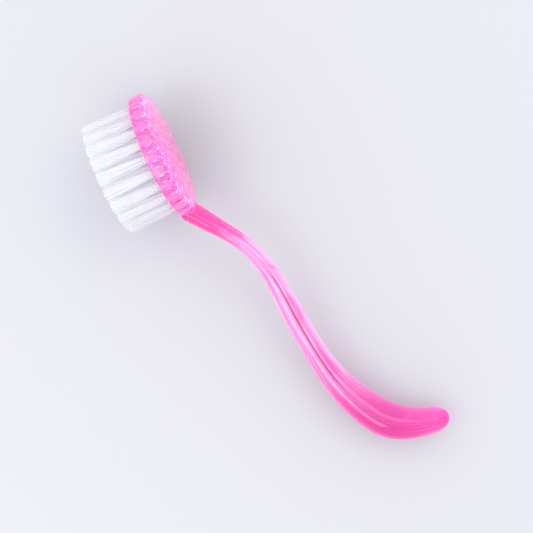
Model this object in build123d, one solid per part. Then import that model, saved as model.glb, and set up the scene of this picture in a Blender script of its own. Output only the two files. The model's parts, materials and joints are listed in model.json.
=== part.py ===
from build123d import *
import os

# Nail dust brush: a clear plastic disc head and curved handle moulded in one piece,
# with nylon tufts folded over flat metal staples and driven into blind holes.
#
# The brush is drawn upright first: the bristle face of the head is the plane z = 0 with its
# centre at the origin, the bristles point to -Z and the handle leaves towards +X.
# At the end it is laid on its side, as it rests on a table. Millimetres and degrees.

# Head
HEAD_DIAMETER = 38.0
HEAD_THICKNESS = 4.6
BRISTLE_EDGE_ROUND = 1.0
BACK_EDGE_ROUND = 1.4

# Blind holes for the tufts, in rings around one central hole
HOLE_DIAMETER = 2.4
HOLE_DEPTH = 3.2
RING_PITCH = 3.85
RINGS = {"inner": 6, "third": 11, "second": 17, "outer": 22}

# Nylon tufts: doubled over at the hole's bottom, a little wider at the trimmed ends
BRISTLE_LENGTH = 15.5
TIP_DIAMETER = 3.1
TUFT_CLEARANCE = 0.02

# Flat wire staples that hold the tufts, standing on edge across the hole
STAPLE_LENGTH = 3.0
STAPLE_HEIGHT = 1.5
STAPLE_THICKNESS = 0.3
STAPLE_ABOVE_BOTTOM = 0.45

# Handle: where its middle line runs (x, z), and how thick and how wide it is there
HANDLE_STATIONS = [
    # x, z, thickness, width
    (16.0, 0.4, 6.4, 10.8),
    (21.0, 4.0, 5.9, 9.2),
    (28.0, 9.0, 4.9, 7.4),
    (36.0, 13.6, 5.0, 7.0),
    (45.5, 16.0, 5.5, 7.0),
    (58.0, 16.9, 6.4, 7.6),
    (71.0, 18.0, 6.8, 8.6),
    (83.5, 20.4, 8.4, 10.4),
    (93.0, 24.4, 10.0, 12.4),
    (100.3, 29.6, 10.4, 12.8),
    (104.0, 36.4, 9.0, 11.2),
    (106.0, 46.2, 6.6, 7.6),
]
TIP_ROUND = 2.4

# How the brush lies: on its tail, the rim of its head and the outer bristle tips
TAIL_DROP = 9.282
BRISTLE_DROP = 7.118


def tuft_places():
    """Where each tuft goes, by ring: +X of a place points outwards along the head's radius."""
    places = {"centre": [Location()]}
    for number, (ring, count) in enumerate(RINGS.items(), start=1):
        turns = [Rot(0, 0, 360 * i / count) for i in range(count)]
        places[ring] = [turn * Pos(number * RING_PITCH, 0, 0) for turn in turns]
    return places


def staple():
    """One flat wire staple, across the hole at a right angle to the ring's radius."""
    middle = HOLE_DEPTH - STAPLE_ABOVE_BOTTOM - STAPLE_HEIGHT / 2
    return Pos(0, 0, middle) * Box(STAPLE_THICKNESS, STAPLE_LENGTH, STAPLE_HEIGHT)


def tuft():
    """One tuft: the doubled root in its hole, split by the staple, and the free bristles."""
    root_radius = HOLE_DIAMETER / 2 - TUFT_CLEARANCE
    root = Pos(0, 0, HOLE_DEPTH / 2) * Cylinder(root_radius, HOLE_DEPTH)
    free = Pos(0, 0, -BRISTLE_LENGTH / 2) * Cone(TIP_DIAMETER / 2, root_radius, BRISTLE_LENGTH)
    return root + free - staple()


def tuft_hole():
    """The space one tuft and its staple take out of the head."""
    return Pos(0, 0, HOLE_DEPTH / 2) * Cylinder(HOLE_DIAMETER / 2, HOLE_DEPTH) + staple()


def head_blank():
    """The plain disc, with its two rims rounded."""
    disc = Pos(0, 0, HEAD_THICKNESS / 2) * Cylinder(HEAD_DIAMETER / 2, HEAD_THICKNESS)
    disc = fillet(disc.edges().filter_by(GeomType.CIRCLE).sort_by(Axis.Z)[-1], BACK_EDGE_ROUND)
    return fillet(disc.edges().filter_by(GeomType.CIRCLE).sort_by(Axis.Z)[0], BRISTLE_EDGE_ROUND)


def handle_blank():
    """The curved handle: ovals square to its middle line, lofted, with a rounded tip."""
    points = [(x, 0, z) for x, z, _, _ in HANDLE_STATIONS]
    middle_line = Spline(points)
    ovals = []
    for point, (_, _, thickness, width) in zip(points, HANDLE_STATIONS):
        direction = middle_line.tangent_at(middle_line.param_at_point(point))
        across = Plane(origin=point, x_dir=(0, 1, 0), z_dir=direction)
        ovals.append(across * Ellipse(width / 2, thickness / 2))
    handle = loft(ovals)
    tip_face = handle.faces().filter_by(GeomType.PLANE).sort_by(Axis.X)[-1]
    return fillet(tip_face.edges(), TIP_ROUND)


def moulded_body(places):
    """Head and handle as the one moulding they are, with the tuft holes sunk into it."""
    below_face = Pos(0, 0, -HEAD_DIAMETER / 2) * Box(2 * HEAD_DIAMETER, HEAD_DIAMETER, HEAD_DIAMETER)
    body = head_blank() + (handle_blank() - below_face)
    hole = tuft_hole()
    return body - [place * hole for ring in places.values() for place in ring]


places = tuft_places()
parts = {"handle_and_head_moulding": [moulded_body(places)]}
for ring, spots in places.items():
    prefix = "centre" if ring == "centre" else ring + "_ring"
    parts[prefix + "_tufts"] = [place * tuft() for place in spots]
    parts[prefix + "_staples"] = [place * staple() for place in spots]

# Lay the brush on its side: -Y turns up, then the tail and the bristles sink to the table.
lie_down = Rot(BRISTLE_DROP, 0, 0) * Rot(0, TAIL_DROP, 0) * Rot(-90, 0, 0)
whole = Compound([lie_down * piece for group in parts.values() for piece in group])
box = whole.bounding_box()
to_table = Pos(-box.center().X, -box.center().Y, -box.min.Z)

os.makedirs("parts", exist_ok=True)
for name, group in parts.items():
    solids = [solid for piece in group for solid in (to_table * lie_down * piece).solids()]
    shape = solids[0] if len(solids) == 1 else Compound(solids)
    shape.label = name
    export_step(shape, f"parts/{name}.step")
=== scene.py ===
import json
import math

import bpy
import numpy as np
from mathutils import Matrix, Vector


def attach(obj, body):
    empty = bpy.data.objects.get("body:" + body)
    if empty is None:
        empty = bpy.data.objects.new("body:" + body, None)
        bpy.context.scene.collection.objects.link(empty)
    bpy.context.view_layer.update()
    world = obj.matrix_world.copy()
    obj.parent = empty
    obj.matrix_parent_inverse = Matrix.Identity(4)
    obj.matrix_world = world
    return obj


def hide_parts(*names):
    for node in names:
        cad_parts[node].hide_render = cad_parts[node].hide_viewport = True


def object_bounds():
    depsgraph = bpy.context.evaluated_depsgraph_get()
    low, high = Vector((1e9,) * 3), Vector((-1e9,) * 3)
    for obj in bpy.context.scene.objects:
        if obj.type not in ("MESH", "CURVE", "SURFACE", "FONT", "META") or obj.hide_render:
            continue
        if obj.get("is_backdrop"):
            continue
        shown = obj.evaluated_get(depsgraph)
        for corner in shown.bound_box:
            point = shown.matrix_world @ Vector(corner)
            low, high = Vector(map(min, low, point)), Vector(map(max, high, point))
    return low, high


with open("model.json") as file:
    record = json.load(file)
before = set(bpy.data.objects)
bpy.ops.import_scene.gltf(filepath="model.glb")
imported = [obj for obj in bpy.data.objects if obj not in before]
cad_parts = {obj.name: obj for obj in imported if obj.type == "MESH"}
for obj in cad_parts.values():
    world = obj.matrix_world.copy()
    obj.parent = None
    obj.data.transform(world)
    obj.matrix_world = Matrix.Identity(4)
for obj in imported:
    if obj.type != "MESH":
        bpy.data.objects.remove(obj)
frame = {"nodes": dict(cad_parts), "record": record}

# Clear pink nail brush, lying on its side on a pale table.
# Pieces are built upright, in millimetres: the bristle face of the head is z = 0 with its centre
# at the origin, the bristles point to -Z and the handle leaves towards +X. PLACE then puts
# them where the frame has the brush.

CAD_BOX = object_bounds()
MM = 0.001
BODY = "handle_and_head_moulding"

# Head
HEAD_RADIUS = 19.0
HEAD_THICKNESS = 4.6
BRISTLE_EDGE_ROUND = 1.0
BACK_EDGE_ROUND = 1.4
RIM_SEGMENTS = 256
ROUND_STEPS = 8
HOLE_SIDES = 32
HEAD_MARGIN = 0.05

# Tuft holes and the staples across them
HOLE_RADIUS = 1.2
HOLE_DEPTH = 3.2
RING_PITCH = 3.85
RINGS = {"centre": 1, "inner_ring": 6, "third_ring": 11, "second_ring": 17, "outer_ring": 22}
STAPLE_LENGTH = 3.0
STAPLE_HEIGHT = 1.5
STAPLE_THICKNESS = 0.3
STAPLE_ABOVE_BOTTOM = 0.45

# Handle: x, z, thickness and width along its middle line
HANDLE_STATIONS = [
    (16.0, 0.4, 6.4, 10.8),
    (21.0, 4.0, 5.9, 9.2),
    (28.0, 9.0, 4.9, 7.4),
    (36.0, 13.6, 5.0, 7.0),
    (45.5, 16.0, 5.5, 7.0),
    (58.0, 16.9, 6.4, 7.6),
    (71.0, 18.0, 6.8, 8.6),
    (83.5, 20.4, 8.4, 10.4),
    (93.0, 24.4, 10.0, 12.4),
    (100.3, 29.6, 10.4, 12.8),
    (104.0, 36.4, 9.0, 11.2),
    (106.0, 46.2, 6.6, 7.6),
]
TIP_ROUND = 4.4
TIP_RINGS = 24
HANDLE_RINGS = 480
HANDLE_SIDES = 96
FLOW_SAMPLES = 900
BELOW_FACE_SIZE = 60.0
MOULDING_CREASE = math.radians(32)
FILAMENT_CREASE = math.radians(62)

# Nylon
BRISTLE_LENGTH = 15.5
FILAMENT_RADIUS = 0.115
FILAMENTS_PER_TUFT = 34
TIP_SPREAD = 1.8
FILAMENT_SIDES = 6
SEED = 11

TAIL_DROP = math.radians(9.282)


def head_frame():
    """The matrix that takes upright millimetres to the frame, from the record's mount on the head's back."""
    mount = next(m for m in frame["record"]["mounts"] if m["name"] == "head_back")
    back = Vector(mount["axis"]).normalized()
    bristle_drop = math.atan2(back.z, back.y)
    turn = (
        Matrix.Rotation(bristle_drop, 4, "X")
        @ Matrix.Rotation(TAIL_DROP, 4, "Y")
        @ Matrix.Rotation(-math.pi / 2, 4, "X")
    )
    to_back = turn @ Vector((0, 0, HEAD_THICKNESS * MM))
    return Matrix.Translation(Vector(mount["pos_m"]) - to_back) @ turn @ Matrix.Scale(MM, 4)


PLACE = head_frame()
UPRIGHT = PLACE.inverted()


def natural_spline(knots, values, at):
    """Values of the natural cubic spline through (knots, values), at the given places."""
    n = len(knots)
    h = np.diff(knots)
    slope = np.diff(values, axis=0) / h[:, None]
    system = np.eye(n)
    right = np.zeros_like(values)
    for i in range(1, n - 1):
        system[i, i - 1 : i + 2] = h[i - 1], 2 * (h[i - 1] + h[i]), h[i]
        right[i] = 6 * (slope[i] - slope[i - 1])
    bend = np.linalg.solve(system, right)
    k = np.clip(np.searchsorted(knots, at) - 1, 0, n - 2)
    w = h[k][:, None]
    a = knots[k + 1][:, None] - at[:, None]
    b = at[:, None] - knots[k][:, None]
    return (
        (bend[k] * a**3 + bend[k + 1] * b**3) / (6 * w)
        + (values[k] / w - bend[k] * w / 6) * a
        + (values[k + 1] / w - bend[k + 1] * w / 6) * b
    )


def mesh_object(name, verts, faces):
    """A closed mesh object from upright millimetres, put where the frame has the brush."""
    mesh = bpy.data.meshes.new(name)
    mesh.from_pydata([tuple(v) for v in verts], [], faces)
    mesh.transform(PLACE)
    mesh.update()
    obj = bpy.data.objects.new(name, mesh)
    bpy.context.scene.collection.objects.link(obj)
    return obj


def tube_faces(rings, sides, start=0):
    """Quads around a stack of rings, with a flat cap on each end."""
    faces = []
    for r in range(rings - 1):
        low = start + r * sides
        for s in range(sides):
            t = (s + 1) % sides
            faces.append((low + s, low + t, low + sides + t, low + sides + s))
    faces.append(tuple(start + s for s in reversed(range(sides))))
    faces.append(tuple(start + (rings - 1) * sides + s for s in range(sides)))
    return faces


def middle_line(at):
    """x, z, thickness and width at the given distances along the handle."""
    stations = np.array(HANDLE_STATIONS)
    return natural_spline(handle_reach(), stations, at)


def handle_reach():
    """How far along the handle each station is."""
    stations = np.array(HANDLE_STATIONS)
    steps = np.linalg.norm(np.diff(stations[:, :2], axis=0), axis=1)
    return np.concatenate([[0], np.cumsum(steps)])


def handle_mesh():
    """The S-curved handle as a fine tube of ovals, with a rounded tip."""
    length = handle_reach()[-1]
    # Rings crowd together over the rounded tip.
    body_at = np.linspace(0, length - TIP_ROUND, HANDLE_RINGS, endpoint=False)
    tip_turn = np.linspace(0, math.pi / 2, TIP_RINGS, endpoint=False)
    tip_at = length - TIP_ROUND + TIP_ROUND * np.sin(tip_turn)
    at = np.concatenate([body_at, tip_at])
    shrink = np.concatenate([np.ones_like(body_at), np.cos(tip_turn)])
    line = middle_line(at)
    direction = middle_line(at + 0.01)[:, :2] - line[:, :2]
    direction /= np.linalg.norm(direction, axis=1)[:, None]
    turn = np.linspace(0, 2 * math.pi, HANDLE_SIDES, endpoint=False)
    verts = []
    for (x, z, thick, wide), (dx, dz), size in zip(line, direction, shrink):
        up = thick / 2 * size * np.sin(turn)
        side = wide / 2 * size * np.cos(turn)
        verts += list(zip(x - dz * up, side, z + dx * up))
    return verts, tube_faces(len(at), HANDLE_SIDES)


def head_profile():
    """Half outline of the disc, from the middle of the bristle face out and round to the back."""
    points = [(0.0, 0.0)]
    for radius, corner_z, first in (
        (BRISTLE_EDGE_ROUND, BRISTLE_EDGE_ROUND, -math.pi / 2),
        (BACK_EDGE_ROUND, HEAD_THICKNESS - BACK_EDGE_ROUND, 0.0),
    ):
        for i in range(ROUND_STEPS + 1):
            angle = first + math.pi / 2 * i / ROUND_STEPS
            centre = HEAD_RADIUS - radius
            points.append((centre + radius * math.cos(angle), corner_z + radius * math.sin(angle)))
    points.append((0.0, HEAD_THICKNESS))
    return points


def head_mesh():
    """The plain disc, lathed from its profile."""
    profile = head_profile()[1:-1]
    turn = np.linspace(0, 2 * math.pi, RIM_SEGMENTS, endpoint=False)
    verts = [(r * math.cos(a), r * math.sin(a), z) for r, z in profile for a in turn]
    return verts, tube_faces(len(profile), RIM_SEGMENTS)


def tuft_spots(ring):
    """(x, y, angle) of each tuft of a ring, angle being the radial direction."""
    number = list(RINGS).index(ring)
    count = RINGS[ring]
    angles = [2 * math.pi * i / count for i in range(count)]
    return [(number * RING_PITCH * math.cos(a), number * RING_PITCH * math.sin(a), a) for a in angles]


def hole_cutters():
    """Every blind hole, as closed meshes that cross the bristle face."""
    verts, faces = [], []
    for ring in RINGS:
        for x, y, _ in tuft_spots(ring):
            start = len(verts)
            for z in (-1.0, HOLE_DEPTH):
                for s in range(HOLE_SIDES):
                    a = 2 * math.pi * s / HOLE_SIDES
                    verts.append((x + HOLE_RADIUS * math.cos(a), y + HOLE_RADIUS * math.sin(a), z))
            faces += tube_faces(2, HOLE_SIDES, start)
    return verts, faces


def seat_cutters():
    """The slots in the holes' walls that the staples bite into."""
    verts, faces = [], []
    low = HOLE_DEPTH - STAPLE_ABOVE_BOTTOM - STAPLE_HEIGHT
    for ring in RINGS:
        for x, y, angle in tuft_spots(ring):
            start = len(verts)
            c, s = math.cos(angle), math.sin(angle)
            for z in (low, low + STAPLE_HEIGHT):
                for u, v in ((-1, -1), (1, -1), (1, 1), (-1, 1)):
                    a, b = u * STAPLE_THICKNESS / 2, v * STAPLE_LENGTH / 2
                    verts.append((x + a * c - b * s, y + a * s + b * c, z))
            faces += tube_faces(2, 4, start)
    return verts, faces


def cut(target, tool, operation):
    """Boolean of target by tool, applied; the tool goes."""
    modifier = target.modifiers.new(operation, "BOOLEAN")
    modifier.operation = operation
    modifier.object = tool
    modifier.solver = "EXACT"
    bpy.context.view_layer.update()
    depsgraph = bpy.context.evaluated_depsgraph_get()
    mesh = bpy.data.meshes.new_from_object(target.evaluated_get(depsgraph))
    target.modifiers.clear()
    target.data = mesh
    bpy.data.objects.remove(tool)


def mark_flow(body):
    """Stores where each point of the moulding is in the handle: across, aside and along.

    Across and aside run from -1 to 1 over the handle's thickness and width. Along is in
    centimetres, and negative in the head."""
    at = np.linspace(0, handle_reach()[-1], FLOW_SAMPLES)
    line = middle_line(at)
    direction = np.gradient(line[:, :2], axis=0)
    direction /= np.linalg.norm(direction, axis=1)[:, None]
    attribute = body.data.attributes.new("flow", "FLOAT_VECTOR", "POINT")
    flow = []
    for vert in body.data.vertices:
        x, y, z = UPRIGHT @ vert.co
        gap = (line[:, 0] - x) ** 2 + (line[:, 1] - z) ** 2
        near = int(np.argmin(gap))
        dx, dz = direction[near]
        across = (dx * (z - line[near, 1]) - dz * (x - line[near, 0])) / (line[near, 2] / 2)
        aside = y / (line[near, 3] / 2)
        in_head = math.hypot(x, y) < HEAD_RADIUS + HEAD_MARGIN and z < HEAD_THICKNESS + HEAD_MARGIN
        flow += [across, aside, -1.0 if in_head else at[near] / 10]
    attribute.data.foreach_set("vector", flow)


def moulding():
    """Head, neck and handle as one clear moulding with its blind tuft holes."""
    body = mesh_object("brush_moulding", *head_mesh())
    handle = mesh_object("handle_tool", *handle_mesh())
    size = BELOW_FACE_SIZE
    square = ((-size, -size), (size, -size), (size, size), (-size, size))
    corners = [(x, y, z) for z in (-size, 0.0) for x, y in square]
    cut(handle, mesh_object("below_face", corners, tube_faces(2, 4)), "DIFFERENCE")
    cut(body, handle, "UNION")
    cut(body, mesh_object("holes", *hole_cutters()), "DIFFERENCE")
    cut(body, mesh_object("seats", *seat_cutters()), "DIFFERENCE")
    body.data.shade_smooth()
    body.data.set_sharp_from_angle(angle=MOULDING_CREASE)
    mark_flow(body)
    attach(body, "root")
    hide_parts(BODY)
    return body


def filament_path(rng, x, y, angle):
    """Middle line of one doubled filament: tip, down a hole, round the staple, and back to its other tip."""
    wall = HOLE_RADIUS - FILAMENT_RADIUS - 0.03
    clear = STAPLE_THICKNESS / 2 + FILAMENT_RADIUS + 0.01
    along = rng.uniform(-0.92, 0.92) * wall
    reach = math.sqrt(max(wall**2 - along**2, 0.0))
    top = HOLE_DEPTH - STAPLE_ABOVE_BOTTOM
    legs = []
    for side in (-1, 1):
        away = side * (clear + rng.uniform(0, 1) * max(reach - clear, 0.0))
        length = BRISTLE_LENGTH - abs(rng.normal(0, 0.12))
        spread = TIP_SPREAD + rng.normal(0, 0.05)
        lean_a, lean_b = rng.normal(0, 0.22, 2)
        leg = []
        for t in (1.0, 0.8, 0.58, 0.36, 0.16, 0.0):
            wide = 1 + (spread - 1) * t**0.6
            leg.append((away * wide + lean_a * t * t, along * wide + lean_b * t * t, -length * t))
        leg.append((away, along, top - STAPLE_HEIGHT * 0.5))
        legs.append(leg)
    loop_top = min(HOLE_DEPTH - FILAMENT_RADIUS - 0.02, top + FILAMENT_RADIUS + rng.uniform(0.02, 0.2))
    left, right = legs[0][-1], legs[1][-1]
    bend = []
    for turn in (0.0, 0.25, 0.5, 0.75, 1.0):
        across = left[0] + (right[0] - left[0]) * (1 - math.cos(math.pi * turn)) / 2
        rise = top + (loop_top - top) * math.sin(math.pi * turn)
        bend.append((across, along, rise))
    path = legs[0] + bend + legs[1][::-1]
    c, s = math.cos(angle), math.sin(angle)
    return [(x + a * c - b * s, y + a * s + b * c, z) for a, b, z in path]


def rest_on_table(points):
    """Lifts the parts of a filament that would pass through the table, so that it bends along it."""
    placed = [PLACE @ Vector(p) for p in points]
    for p in placed:
        p.z = max(p.z, (FILAMENT_RADIUS + 0.01) * MM)
    return np.array([UPRIGHT @ p for p in placed])


def filament_verts(path):
    """Rings of points around a filament's path, carried along it without twisting."""
    points = rest_on_table(path)
    ways = np.gradient(points, axis=0)
    ways /= np.linalg.norm(ways, axis=1)[:, None]
    normal = np.cross(ways[0], (0.31, 0.95, 0.0))
    verts = []
    turn = np.linspace(0, 2 * math.pi, FILAMENT_SIDES, endpoint=False)
    for point, way in zip(points, ways):
        normal = normal - way * (normal @ way)
        normal /= np.linalg.norm(normal)
        side = np.cross(way, normal)
        ring = np.cos(turn)[:, None] * normal + np.sin(turn)[:, None] * side
        verts += list(point + FILAMENT_RADIUS * ring)
    return verts


def tufts(ring):
    """All tufts of one ring, each a bundle of doubled nylon filaments."""
    rng = np.random.default_rng(SEED + RINGS[ring])
    verts, faces = [], []
    for x, y, angle in tuft_spots(ring):
        for _ in range(FILAMENTS_PER_TUFT):
            path = filament_path(rng, x, y, angle)
            start = len(verts)
            verts += filament_verts(path)
            faces += tube_faces(len(path), FILAMENT_SIDES, start)
    obj = mesh_object(ring + "_filaments", verts, faces)
    obj.data.shade_smooth()
    obj.data.set_sharp_from_angle(angle=FILAMENT_CREASE)
    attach(obj, "root")
    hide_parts(ring + "_tufts")
    return obj


# ---- materials ----


def new_material(name):
    mat = bpy.data.materials.new(name)
    mat.use_nodes = True
    nodes, links = mat.node_tree.nodes, mat.node_tree.links
    nodes.clear()
    out = nodes.new("ShaderNodeOutputMaterial")
    return mat, nodes, links, out


def maths(nodes, links, operation, first, second):
    """A Math node of two values, each a socket or a number."""
    node = nodes.new("ShaderNodeMath")
    node.operation = operation
    for i, value in enumerate((first, second)):
        if isinstance(value, (int, float)):
            node.inputs[i].default_value = value
        else:
            links.new(value, node.inputs[i])
    return node.outputs[0]


def colour_ramp(nodes, links, value, stops):
    """A Color Ramp of value, through the (position, colour) stops."""
    ramp = nodes.new("ShaderNodeValToRGB")
    while len(ramp.color_ramp.elements) < len(stops):
        ramp.color_ramp.elements.new(0.5)
    for element, (position, colour) in zip(ramp.color_ramp.elements, stops):
        element.position = position
        element.color = (*colour, 1)
    links.new(value, ramp.inputs["Fac"])
    return ramp.outputs["Color"]


def tinted(nodes, links, first, second):
    """Two colours multiplied."""
    mix = nodes.new("ShaderNodeMix")
    mix.data_type = "RGBA"
    mix.blend_type = "MULTIPLY"
    mix.inputs["Factor"].default_value = 1.0
    links.new(first, mix.inputs["A"])
    links.new(second, mix.inputs["B"])
    return mix.outputs["Result"]


WHITE = (1.0, 1.0, 1.0)
BLACK = (0.0, 0.0, 0.0)
HEAD_DYE = (1.0, 0.8, 0.93)
SHAFT_DYE = (1.0, 0.94, 0.985)
# Deeper pinks at the neck root and at the tip end, put into the base colour.
NECK_ROOT_DEEP_PINK = (1.0, 0.1, 0.38)
TIP_END_DEEP_PINK = (1.0, 0.1, 0.34)
# The tail: painted shade, deeper pink through its thick middle and paler at its edges, with pale painted
# highlight patches.
TAIL_MIDDLE_DEEP_PINK = (1.0, 0.16, 0.58)
TAIL_PALE_PINK = (1.0, 0.6, 0.87)
# Pink lines along the shaft, painted in place of the refraction lines in the clear plastic.
REFRACTION_LINE_PINK = (1.0, 0.26, 0.62)
# Painted dark reflection: a thin dark maroon line along the shaft.
DARK_REFLECTION = (0.22, 0.01, 0.05)
DARK_REFLECTION_ACROSS = 0.22
DARK_REFLECTION_MIDDLE = 5.2
DARK_REFLECTION_HALF_LENGTH = 1.6
HANDLE_CM = 13.0
ROOT_CM = 3.0
PLASTIC_IOR = 1.57
PLASTIC_ROUGHNESS = 0.045
PLASTIC_GLOW = 0.21
PLASTIC_ABSORPTION = 52
TRANSLUCENT_SHARE = 0.45


def blended(nodes, links, factor, first, second):
    """A colour going from first to second as factor goes from 0 to 1."""
    mix = nodes.new("ShaderNodeMix")
    mix.data_type = "RGBA"
    links.new(factor, mix.inputs["Factor"])
    for socket, value in ((mix.inputs["A"], first), (mix.inputs["B"], second)):
        if isinstance(value, tuple):
            socket.default_value = (*value, 1)
        else:
            links.new(value, socket)
    return mix.outputs["Result"]


def plastic_colour(nodes, links):
    """The tint of the plastic, with painted light in it: streaks and lines along the shaft painted as
    refraction lines, a painted dark reflection line, deeper pink at the neck and tip, and in the tail
    painted shade in the middle with pale painted highlights.

    All shares and distances along the handle come from the flow attribute."""
    flow = nodes.new("ShaderNodeAttribute")
    flow.attribute_name = "flow"
    split = nodes.new("ShaderNodeSeparateXYZ")
    links.new(flow.outputs["Vector"], split.inputs[0])
    across, aside, along = split.outputs
    off_middle = maths(nodes, links, "ABSOLUTE", across, 0)
    place = nodes.new("ShaderNodeCombineXYZ")
    links.new(maths(nodes, links, "MULTIPLY", across, 4.5), place.inputs[0])
    links.new(maths(nodes, links, "SIGN", aside, 0.0), place.inputs[1])
    links.new(maths(nodes, links, "MULTIPLY", along, 0.2), place.inputs[2])
    noise = nodes.new("ShaderNodeTexNoise")
    noise.inputs["Scale"].default_value = 1.6
    noise.inputs["Detail"].default_value = 1.5
    links.new(place.outputs[0], noise.inputs["Vector"])
    # Streaks and edge lines along the shaft: painted refraction lines.
    streaks = colour_ramp(
        nodes,
        links,
        noise.outputs["Fac"],
        [(0.38, REFRACTION_LINE_PINK), (0.43, SHAFT_DYE), (0.5, SHAFT_DYE), (0.55, REFRACTION_LINE_PINK), (0.6, SHAFT_DYE)],
    )
    edge_lines = colour_ramp(
        nodes,
        links,
        off_middle,
        [(0.0, WHITE), (0.5, WHITE), (0.57, REFRACTION_LINE_PINK), (0.62, REFRACTION_LINE_PINK), (0.7, WHITE)],
    )
    shaft = tinted(nodes, links, streaks, edge_lines)
    # Painted shade: the tail is deeper pink through its thick middle and paler towards its edges.
    tail = colour_ramp(nodes, links, off_middle, [(0.0, TAIL_MIDDLE_DEEP_PINK), (0.45, TAIL_MIDDLE_DEEP_PINK), (0.85, TAIL_PALE_PINK)])
    # Pale patches in the tail: painted highlights.
    painted_highlight_share = colour_ramp(
        nodes,
        links,
        noise.outputs["Fac"],
        [(0.46, BLACK), (0.5, WHITE), (0.53, WHITE), (0.58, BLACK)],
    )
    tail = blended(nodes, links, painted_highlight_share, tail, TAIL_PALE_PINK)
    way_down = maths(nodes, links, "DIVIDE", along, HANDLE_CM)
    # Deeper pink towards the tip end.
    tip_share = colour_ramp(nodes, links, way_down, [(0.88, BLACK), (0.96, WHITE)])
    tail = blended(nodes, links, tip_share, tail, TIP_END_DEEP_PINK)
    share = colour_ramp(nodes, links, way_down, [(0.52, BLACK), (0.7, WHITE)])
    handle = blended(nodes, links, share, shaft, tail)
    # Deeper pink at the neck root.
    root_share = colour_ramp(
        nodes,
        links,
        maths(nodes, links, "DIVIDE", along, ROOT_CM),
        [(0.0, BLACK), (0.05, WHITE), (0.4, WHITE), (0.75, BLACK)],
    )
    handle = blended(nodes, links, root_share, handle, NECK_ROOT_DEEP_PINK)
    in_handle = maths(nodes, links, "GREATER_THAN", along, -0.05)
    handle = blended(nodes, links, in_handle, HEAD_DYE, handle)
    # A thin dark line along the shaft: a painted dark reflection.
    off_dark_reflection = maths(nodes, links, "ABSOLUTE", maths(nodes, links, "SUBTRACT", across, DARK_REFLECTION_ACROSS), 0)
    from_middle = maths(nodes, links, "ABSOLUTE", maths(nodes, links, "SUBTRACT", along, DARK_REFLECTION_MIDDLE), 0)
    beyond = maths(nodes, links, "SUBTRACT", from_middle, DARK_REFLECTION_HALF_LENGTH)
    past_end = maths(nodes, links, "MAXIMUM", beyond, 0)
    painted_dark_reflection = colour_ramp(
        nodes,
        links,
        maths(nodes, links, "ADD", off_dark_reflection, maths(nodes, links, "MULTIPLY", past_end, 0.08)),
        [(0.0, DARK_REFLECTION), (0.045, DARK_REFLECTION), (0.085, WHITE)],
    )
    return tinted(nodes, links, handle, painted_dark_reflection)


def pink_plastic():
    """Clear hot pink plastic: smooth and glossy, with a slight even glow that keeps it bright."""
    mat, nodes, links, out = new_material("clear_pink_plastic")
    shader = nodes.new("ShaderNodeBsdfPrincipled")
    links.new(plastic_colour(nodes, links), shader.inputs["Base Color"])
    shader.inputs["Transmission Weight"].default_value = 1.0
    shader.inputs["IOR"].default_value = PLASTIC_IOR
    shader.inputs["Roughness"].default_value = PLASTIC_ROUGHNESS
    # Painted glow: an even pink emission, though the plastic is no lamp.
    shader.inputs["Emission Color"].default_value = (1.0, 0.08, 0.52, 1)
    shader.inputs["Emission Strength"].default_value = PLASTIC_GLOW
    clear = nodes.new("ShaderNodeBsdfTransparent")
    clear.inputs["Color"].default_value = (0.99, 0.86, 0.94, 1)
    path = nodes.new("ShaderNodeLightPath")
    mix = nodes.new("ShaderNodeMixShader")
    links.new(path.outputs["Is Shadow Ray"], mix.inputs[0])
    links.new(shader.outputs[0], mix.inputs[1])
    links.new(clear.outputs[0], mix.inputs[2])
    links.new(mix.outputs[0], out.inputs["Surface"])
    inside = nodes.new("ShaderNodeVolumeAbsorption")
    inside.inputs["Color"].default_value = (1.0, 0.3, 0.8, 1)
    inside.inputs["Density"].default_value = PLASTIC_ABSORPTION
    links.new(inside.outputs[0], out.inputs["Volume"])
    return mat


def nylon():
    """White nylon filament: satin, lets light through, and differs a little from hair to hair."""
    mat, nodes, links, out = new_material("nylon_filament")
    shader = nodes.new("ShaderNodeBsdfPrincipled")
    place = nodes.new("ShaderNodeTexCoord")
    vary = nodes.new("ShaderNodeTexNoise")
    vary.inputs["Scale"].default_value = 1500
    vary.inputs["Detail"].default_value = 1
    links.new(place.outputs["Object"], vary.inputs["Vector"])
    ramp = nodes.new("ShaderNodeValToRGB")
    ramp.color_ramp.elements[0].color = (0.91, 0.915, 0.93, 1)
    ramp.color_ramp.elements[1].color = (0.985, 0.985, 0.99, 1)
    links.new(vary.outputs["Fac"], ramp.inputs["Fac"])
    links.new(ramp.outputs["Color"], shader.inputs["Base Color"])
    shader.inputs["Roughness"].default_value = 0.3
    shader.inputs["IOR"].default_value = 1.5
    glow = nodes.new("ShaderNodeBsdfTranslucent")
    links.new(ramp.outputs["Color"], glow.inputs["Color"])
    body = nodes.new("ShaderNodeMixShader")
    body.inputs[0].default_value = TRANSLUCENT_SHARE
    links.new(shader.outputs[0], body.inputs[1])
    links.new(glow.outputs[0], body.inputs[2])
    clear = nodes.new("ShaderNodeBsdfTransparent")
    clear.inputs["Color"].default_value = (0.95, 0.955, 0.965, 1)
    path = nodes.new("ShaderNodeLightPath")
    mix = nodes.new("ShaderNodeMixShader")
    links.new(path.outputs["Is Shadow Ray"], mix.inputs[0])
    links.new(body.outputs[0], mix.inputs[1])
    links.new(clear.outputs[0], mix.inputs[2])
    links.new(mix.outputs[0], out.inputs["Surface"])
    return mat


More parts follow.
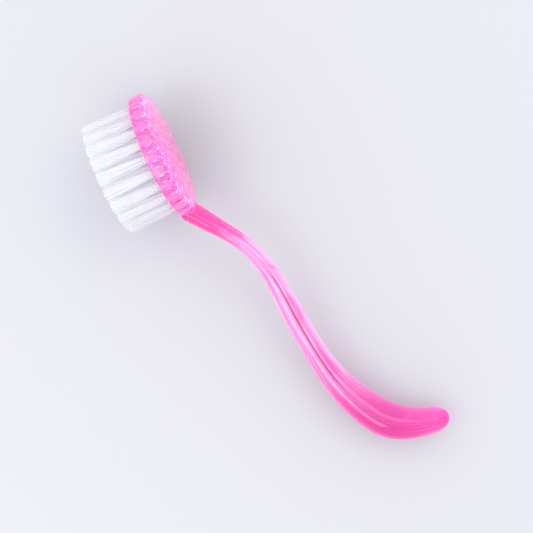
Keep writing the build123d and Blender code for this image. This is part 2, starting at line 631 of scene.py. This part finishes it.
def staple_steel():
    """Drawn flat wire: grey steel with a fine mottled grain."""
    mat, nodes, links, out = new_material("staple_steel")
    shader = nodes.new("ShaderNodeBsdfPrincipled")
    shader.inputs["Metallic"].default_value = 1.0
    shader.inputs["Roughness"].default_value = 0.35
    place = nodes.new("ShaderNodeTexCoord")
    grain = nodes.new("ShaderNodeTexNoise")
    grain.inputs["Scale"].default_value = 4000
    links.new(place.outputs["Object"], grain.inputs["Vector"])
    ramp = nodes.new("ShaderNodeValToRGB")
    ramp.color_ramp.elements[0].color = (0.55, 0.53, 0.53, 1)
    ramp.color_ramp.elements[1].color = (0.8, 0.78, 0.77, 1)
    links.new(grain.outputs["Fac"], ramp.inputs["Fac"])
    links.new(ramp.outputs["Color"], shader.inputs["Base Color"])
    links.new(shader.outputs[0], out.inputs["Surface"])
    return mat


def floor_material():
    """Plain pale table top, faintly lilac."""
    mat, nodes, links, out = new_material("pale_table")
    shader = nodes.new("ShaderNodeBsdfPrincipled")
    shader.inputs["Base Color"].default_value = (0.74, 0.747, 0.79, 1)
    shader.inputs["Roughness"].default_value = 0.35
    links.new(shader.outputs[0], out.inputs["Surface"])
    return mat


def set_material(obj, mat):
    obj.data.materials.clear()
    obj.data.materials.append(mat)


# ---- stage ----

FLOOR_SIZE = 3.0
FLOOR_GAP = 0.0001
VIEW_WIDTH = 0.1556
CAMERA_DISTANCE = 0.667
CAMERA_LEAN = math.radians(1.15)
CAMERA_ROLL = math.radians(66.03)
SENSOR = 36.0
AIM_RIGHT = 0.0004
AIM_UP = 0.0021


def floor():
    mesh = bpy.data.meshes.new("table")
    half = FLOOR_SIZE / 2
    corners = [(-half, -half), (half, -half), (half, half), (-half, half)]
    mesh.from_pydata([(x, y, -FLOOR_GAP) for x, y in corners], [], [(0, 1, 2, 3)])
    obj = bpy.data.objects.new("table", mesh)
    bpy.context.scene.collection.objects.link(obj)
    set_material(obj, floor_material())
    obj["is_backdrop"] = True


def area_light(name, place, along, size, power, colour):
    """A rectangular softbox aimed at the brush, its long side lying along the given direction."""
    data = bpy.data.lights.new(name, "AREA")
    data.shape = "RECTANGLE"
    data.size, data.size_y = size
    data.energy = power
    data.color = colour
    back = Vector(place).normalized()
    side = Vector(along)
    side = (side - back * side.dot(back)).normalized()
    turn = Matrix((side, back.cross(side), back)).transposed().to_4x4()
    obj = bpy.data.objects.new(name, data)
    obj.matrix_world = Matrix.Translation(place) @ turn
    bpy.context.scene.collection.objects.link(obj)
    return obj


def sky():
    """A light tent: bright overhead, greyer towards the horizon."""
    world = bpy.data.worlds.new("studio")
    world.use_nodes = True
    nodes, links = world.node_tree.nodes, world.node_tree.links
    place = nodes.new("ShaderNodeTexCoord")
    split = nodes.new("ShaderNodeSeparateXYZ")
    links.new(place.outputs["Generated"], split.inputs[0])
    ramp = nodes.new("ShaderNodeValToRGB")
    ramp.color_ramp.elements[0].position = 0.0
    ramp.color_ramp.elements[0].color = (0.86, 0.86, 0.9, 1)
    ramp.color_ramp.elements[1].position = 0.4
    ramp.color_ramp.elements[1].color = (0.97, 0.965, 1.0, 1)
    links.new(split.outputs["Z"], ramp.inputs["Fac"])
    links.new(ramp.outputs["Color"], nodes["Background"].inputs["Color"])
    nodes["Background"].inputs["Strength"].default_value = 0.93
    bpy.context.scene.world = world


def lights():
    shaft_way = (0.908, 0.418, 0)
    area_light("key", (0.05, -0.75, 1.1), shaft_way, (0.8, 0.5), 3.2, (1.0, 0.99, 0.98))
    area_light("fill", (-0.25, 0.7, 1.1), shaft_way, (0.9, 0.5), 2.2, (0.98, 0.98, 1.0))
    gleam = area_light("gleam", (0.24, -0.52, 0.7), shaft_way, (0.8, 0.42), 3.0, (1.0, 1.0, 1.0))
    gleam.visible_diffuse = False
    sky()


def camera():
    """Looks nearly straight down, a little from the side of the head's back."""
    low, high = CAD_BOX
    centre = Vector(((low[0] + high[0]) / 2, (low[1] + high[1]) / 2, (low[2] + high[2]) / 2))
    toward = Vector((0, math.sin(CAMERA_LEAN), math.cos(CAMERA_LEAN)))
    right = Vector((math.cos(CAMERA_ROLL), math.sin(CAMERA_ROLL), 0))
    right = (right - toward * right.dot(toward)).normalized()
    up = toward.cross(right)
    aim = centre + right * AIM_RIGHT + up * AIM_UP
    data = bpy.data.cameras.new("camera")
    data.sensor_width = SENSOR
    data.lens = SENSOR * CAMERA_DISTANCE / VIEW_WIDTH
    obj = bpy.data.objects.new("camera", data)
    turn = Matrix((right, up, toward)).transposed().to_4x4()
    obj.matrix_world = Matrix.Translation(aim + toward * CAMERA_DISTANCE) @ turn
    bpy.context.scene.collection.objects.link(obj)
    bpy.context.scene.camera = obj


plastic = pink_plastic()
fibre = nylon()
steel = staple_steel()
set_material(moulding(), plastic)
for ring in RINGS:
    set_material(tufts(ring), fibre)
    set_material(frame["nodes"][ring + "_staples"], steel)
floor()
lights()
camera()
scene = bpy.context.scene
scene.view_settings.view_transform = "Standard"
scene.cycles.caustics_reflective = False
scene.cycles.caustics_refractive = False
scene.cycles.transmission_bounces = 32
scene.cycles.transparent_max_bounces = 40
scene.cycles.max_bounces = 36

bpy.context.view_layer.update()
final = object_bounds()
for name, box in (("cad", CAD_BOX), ("visual", final)):
    print("size", name, [round((b - a) * 1000, 2) for a, b in zip(*box)])
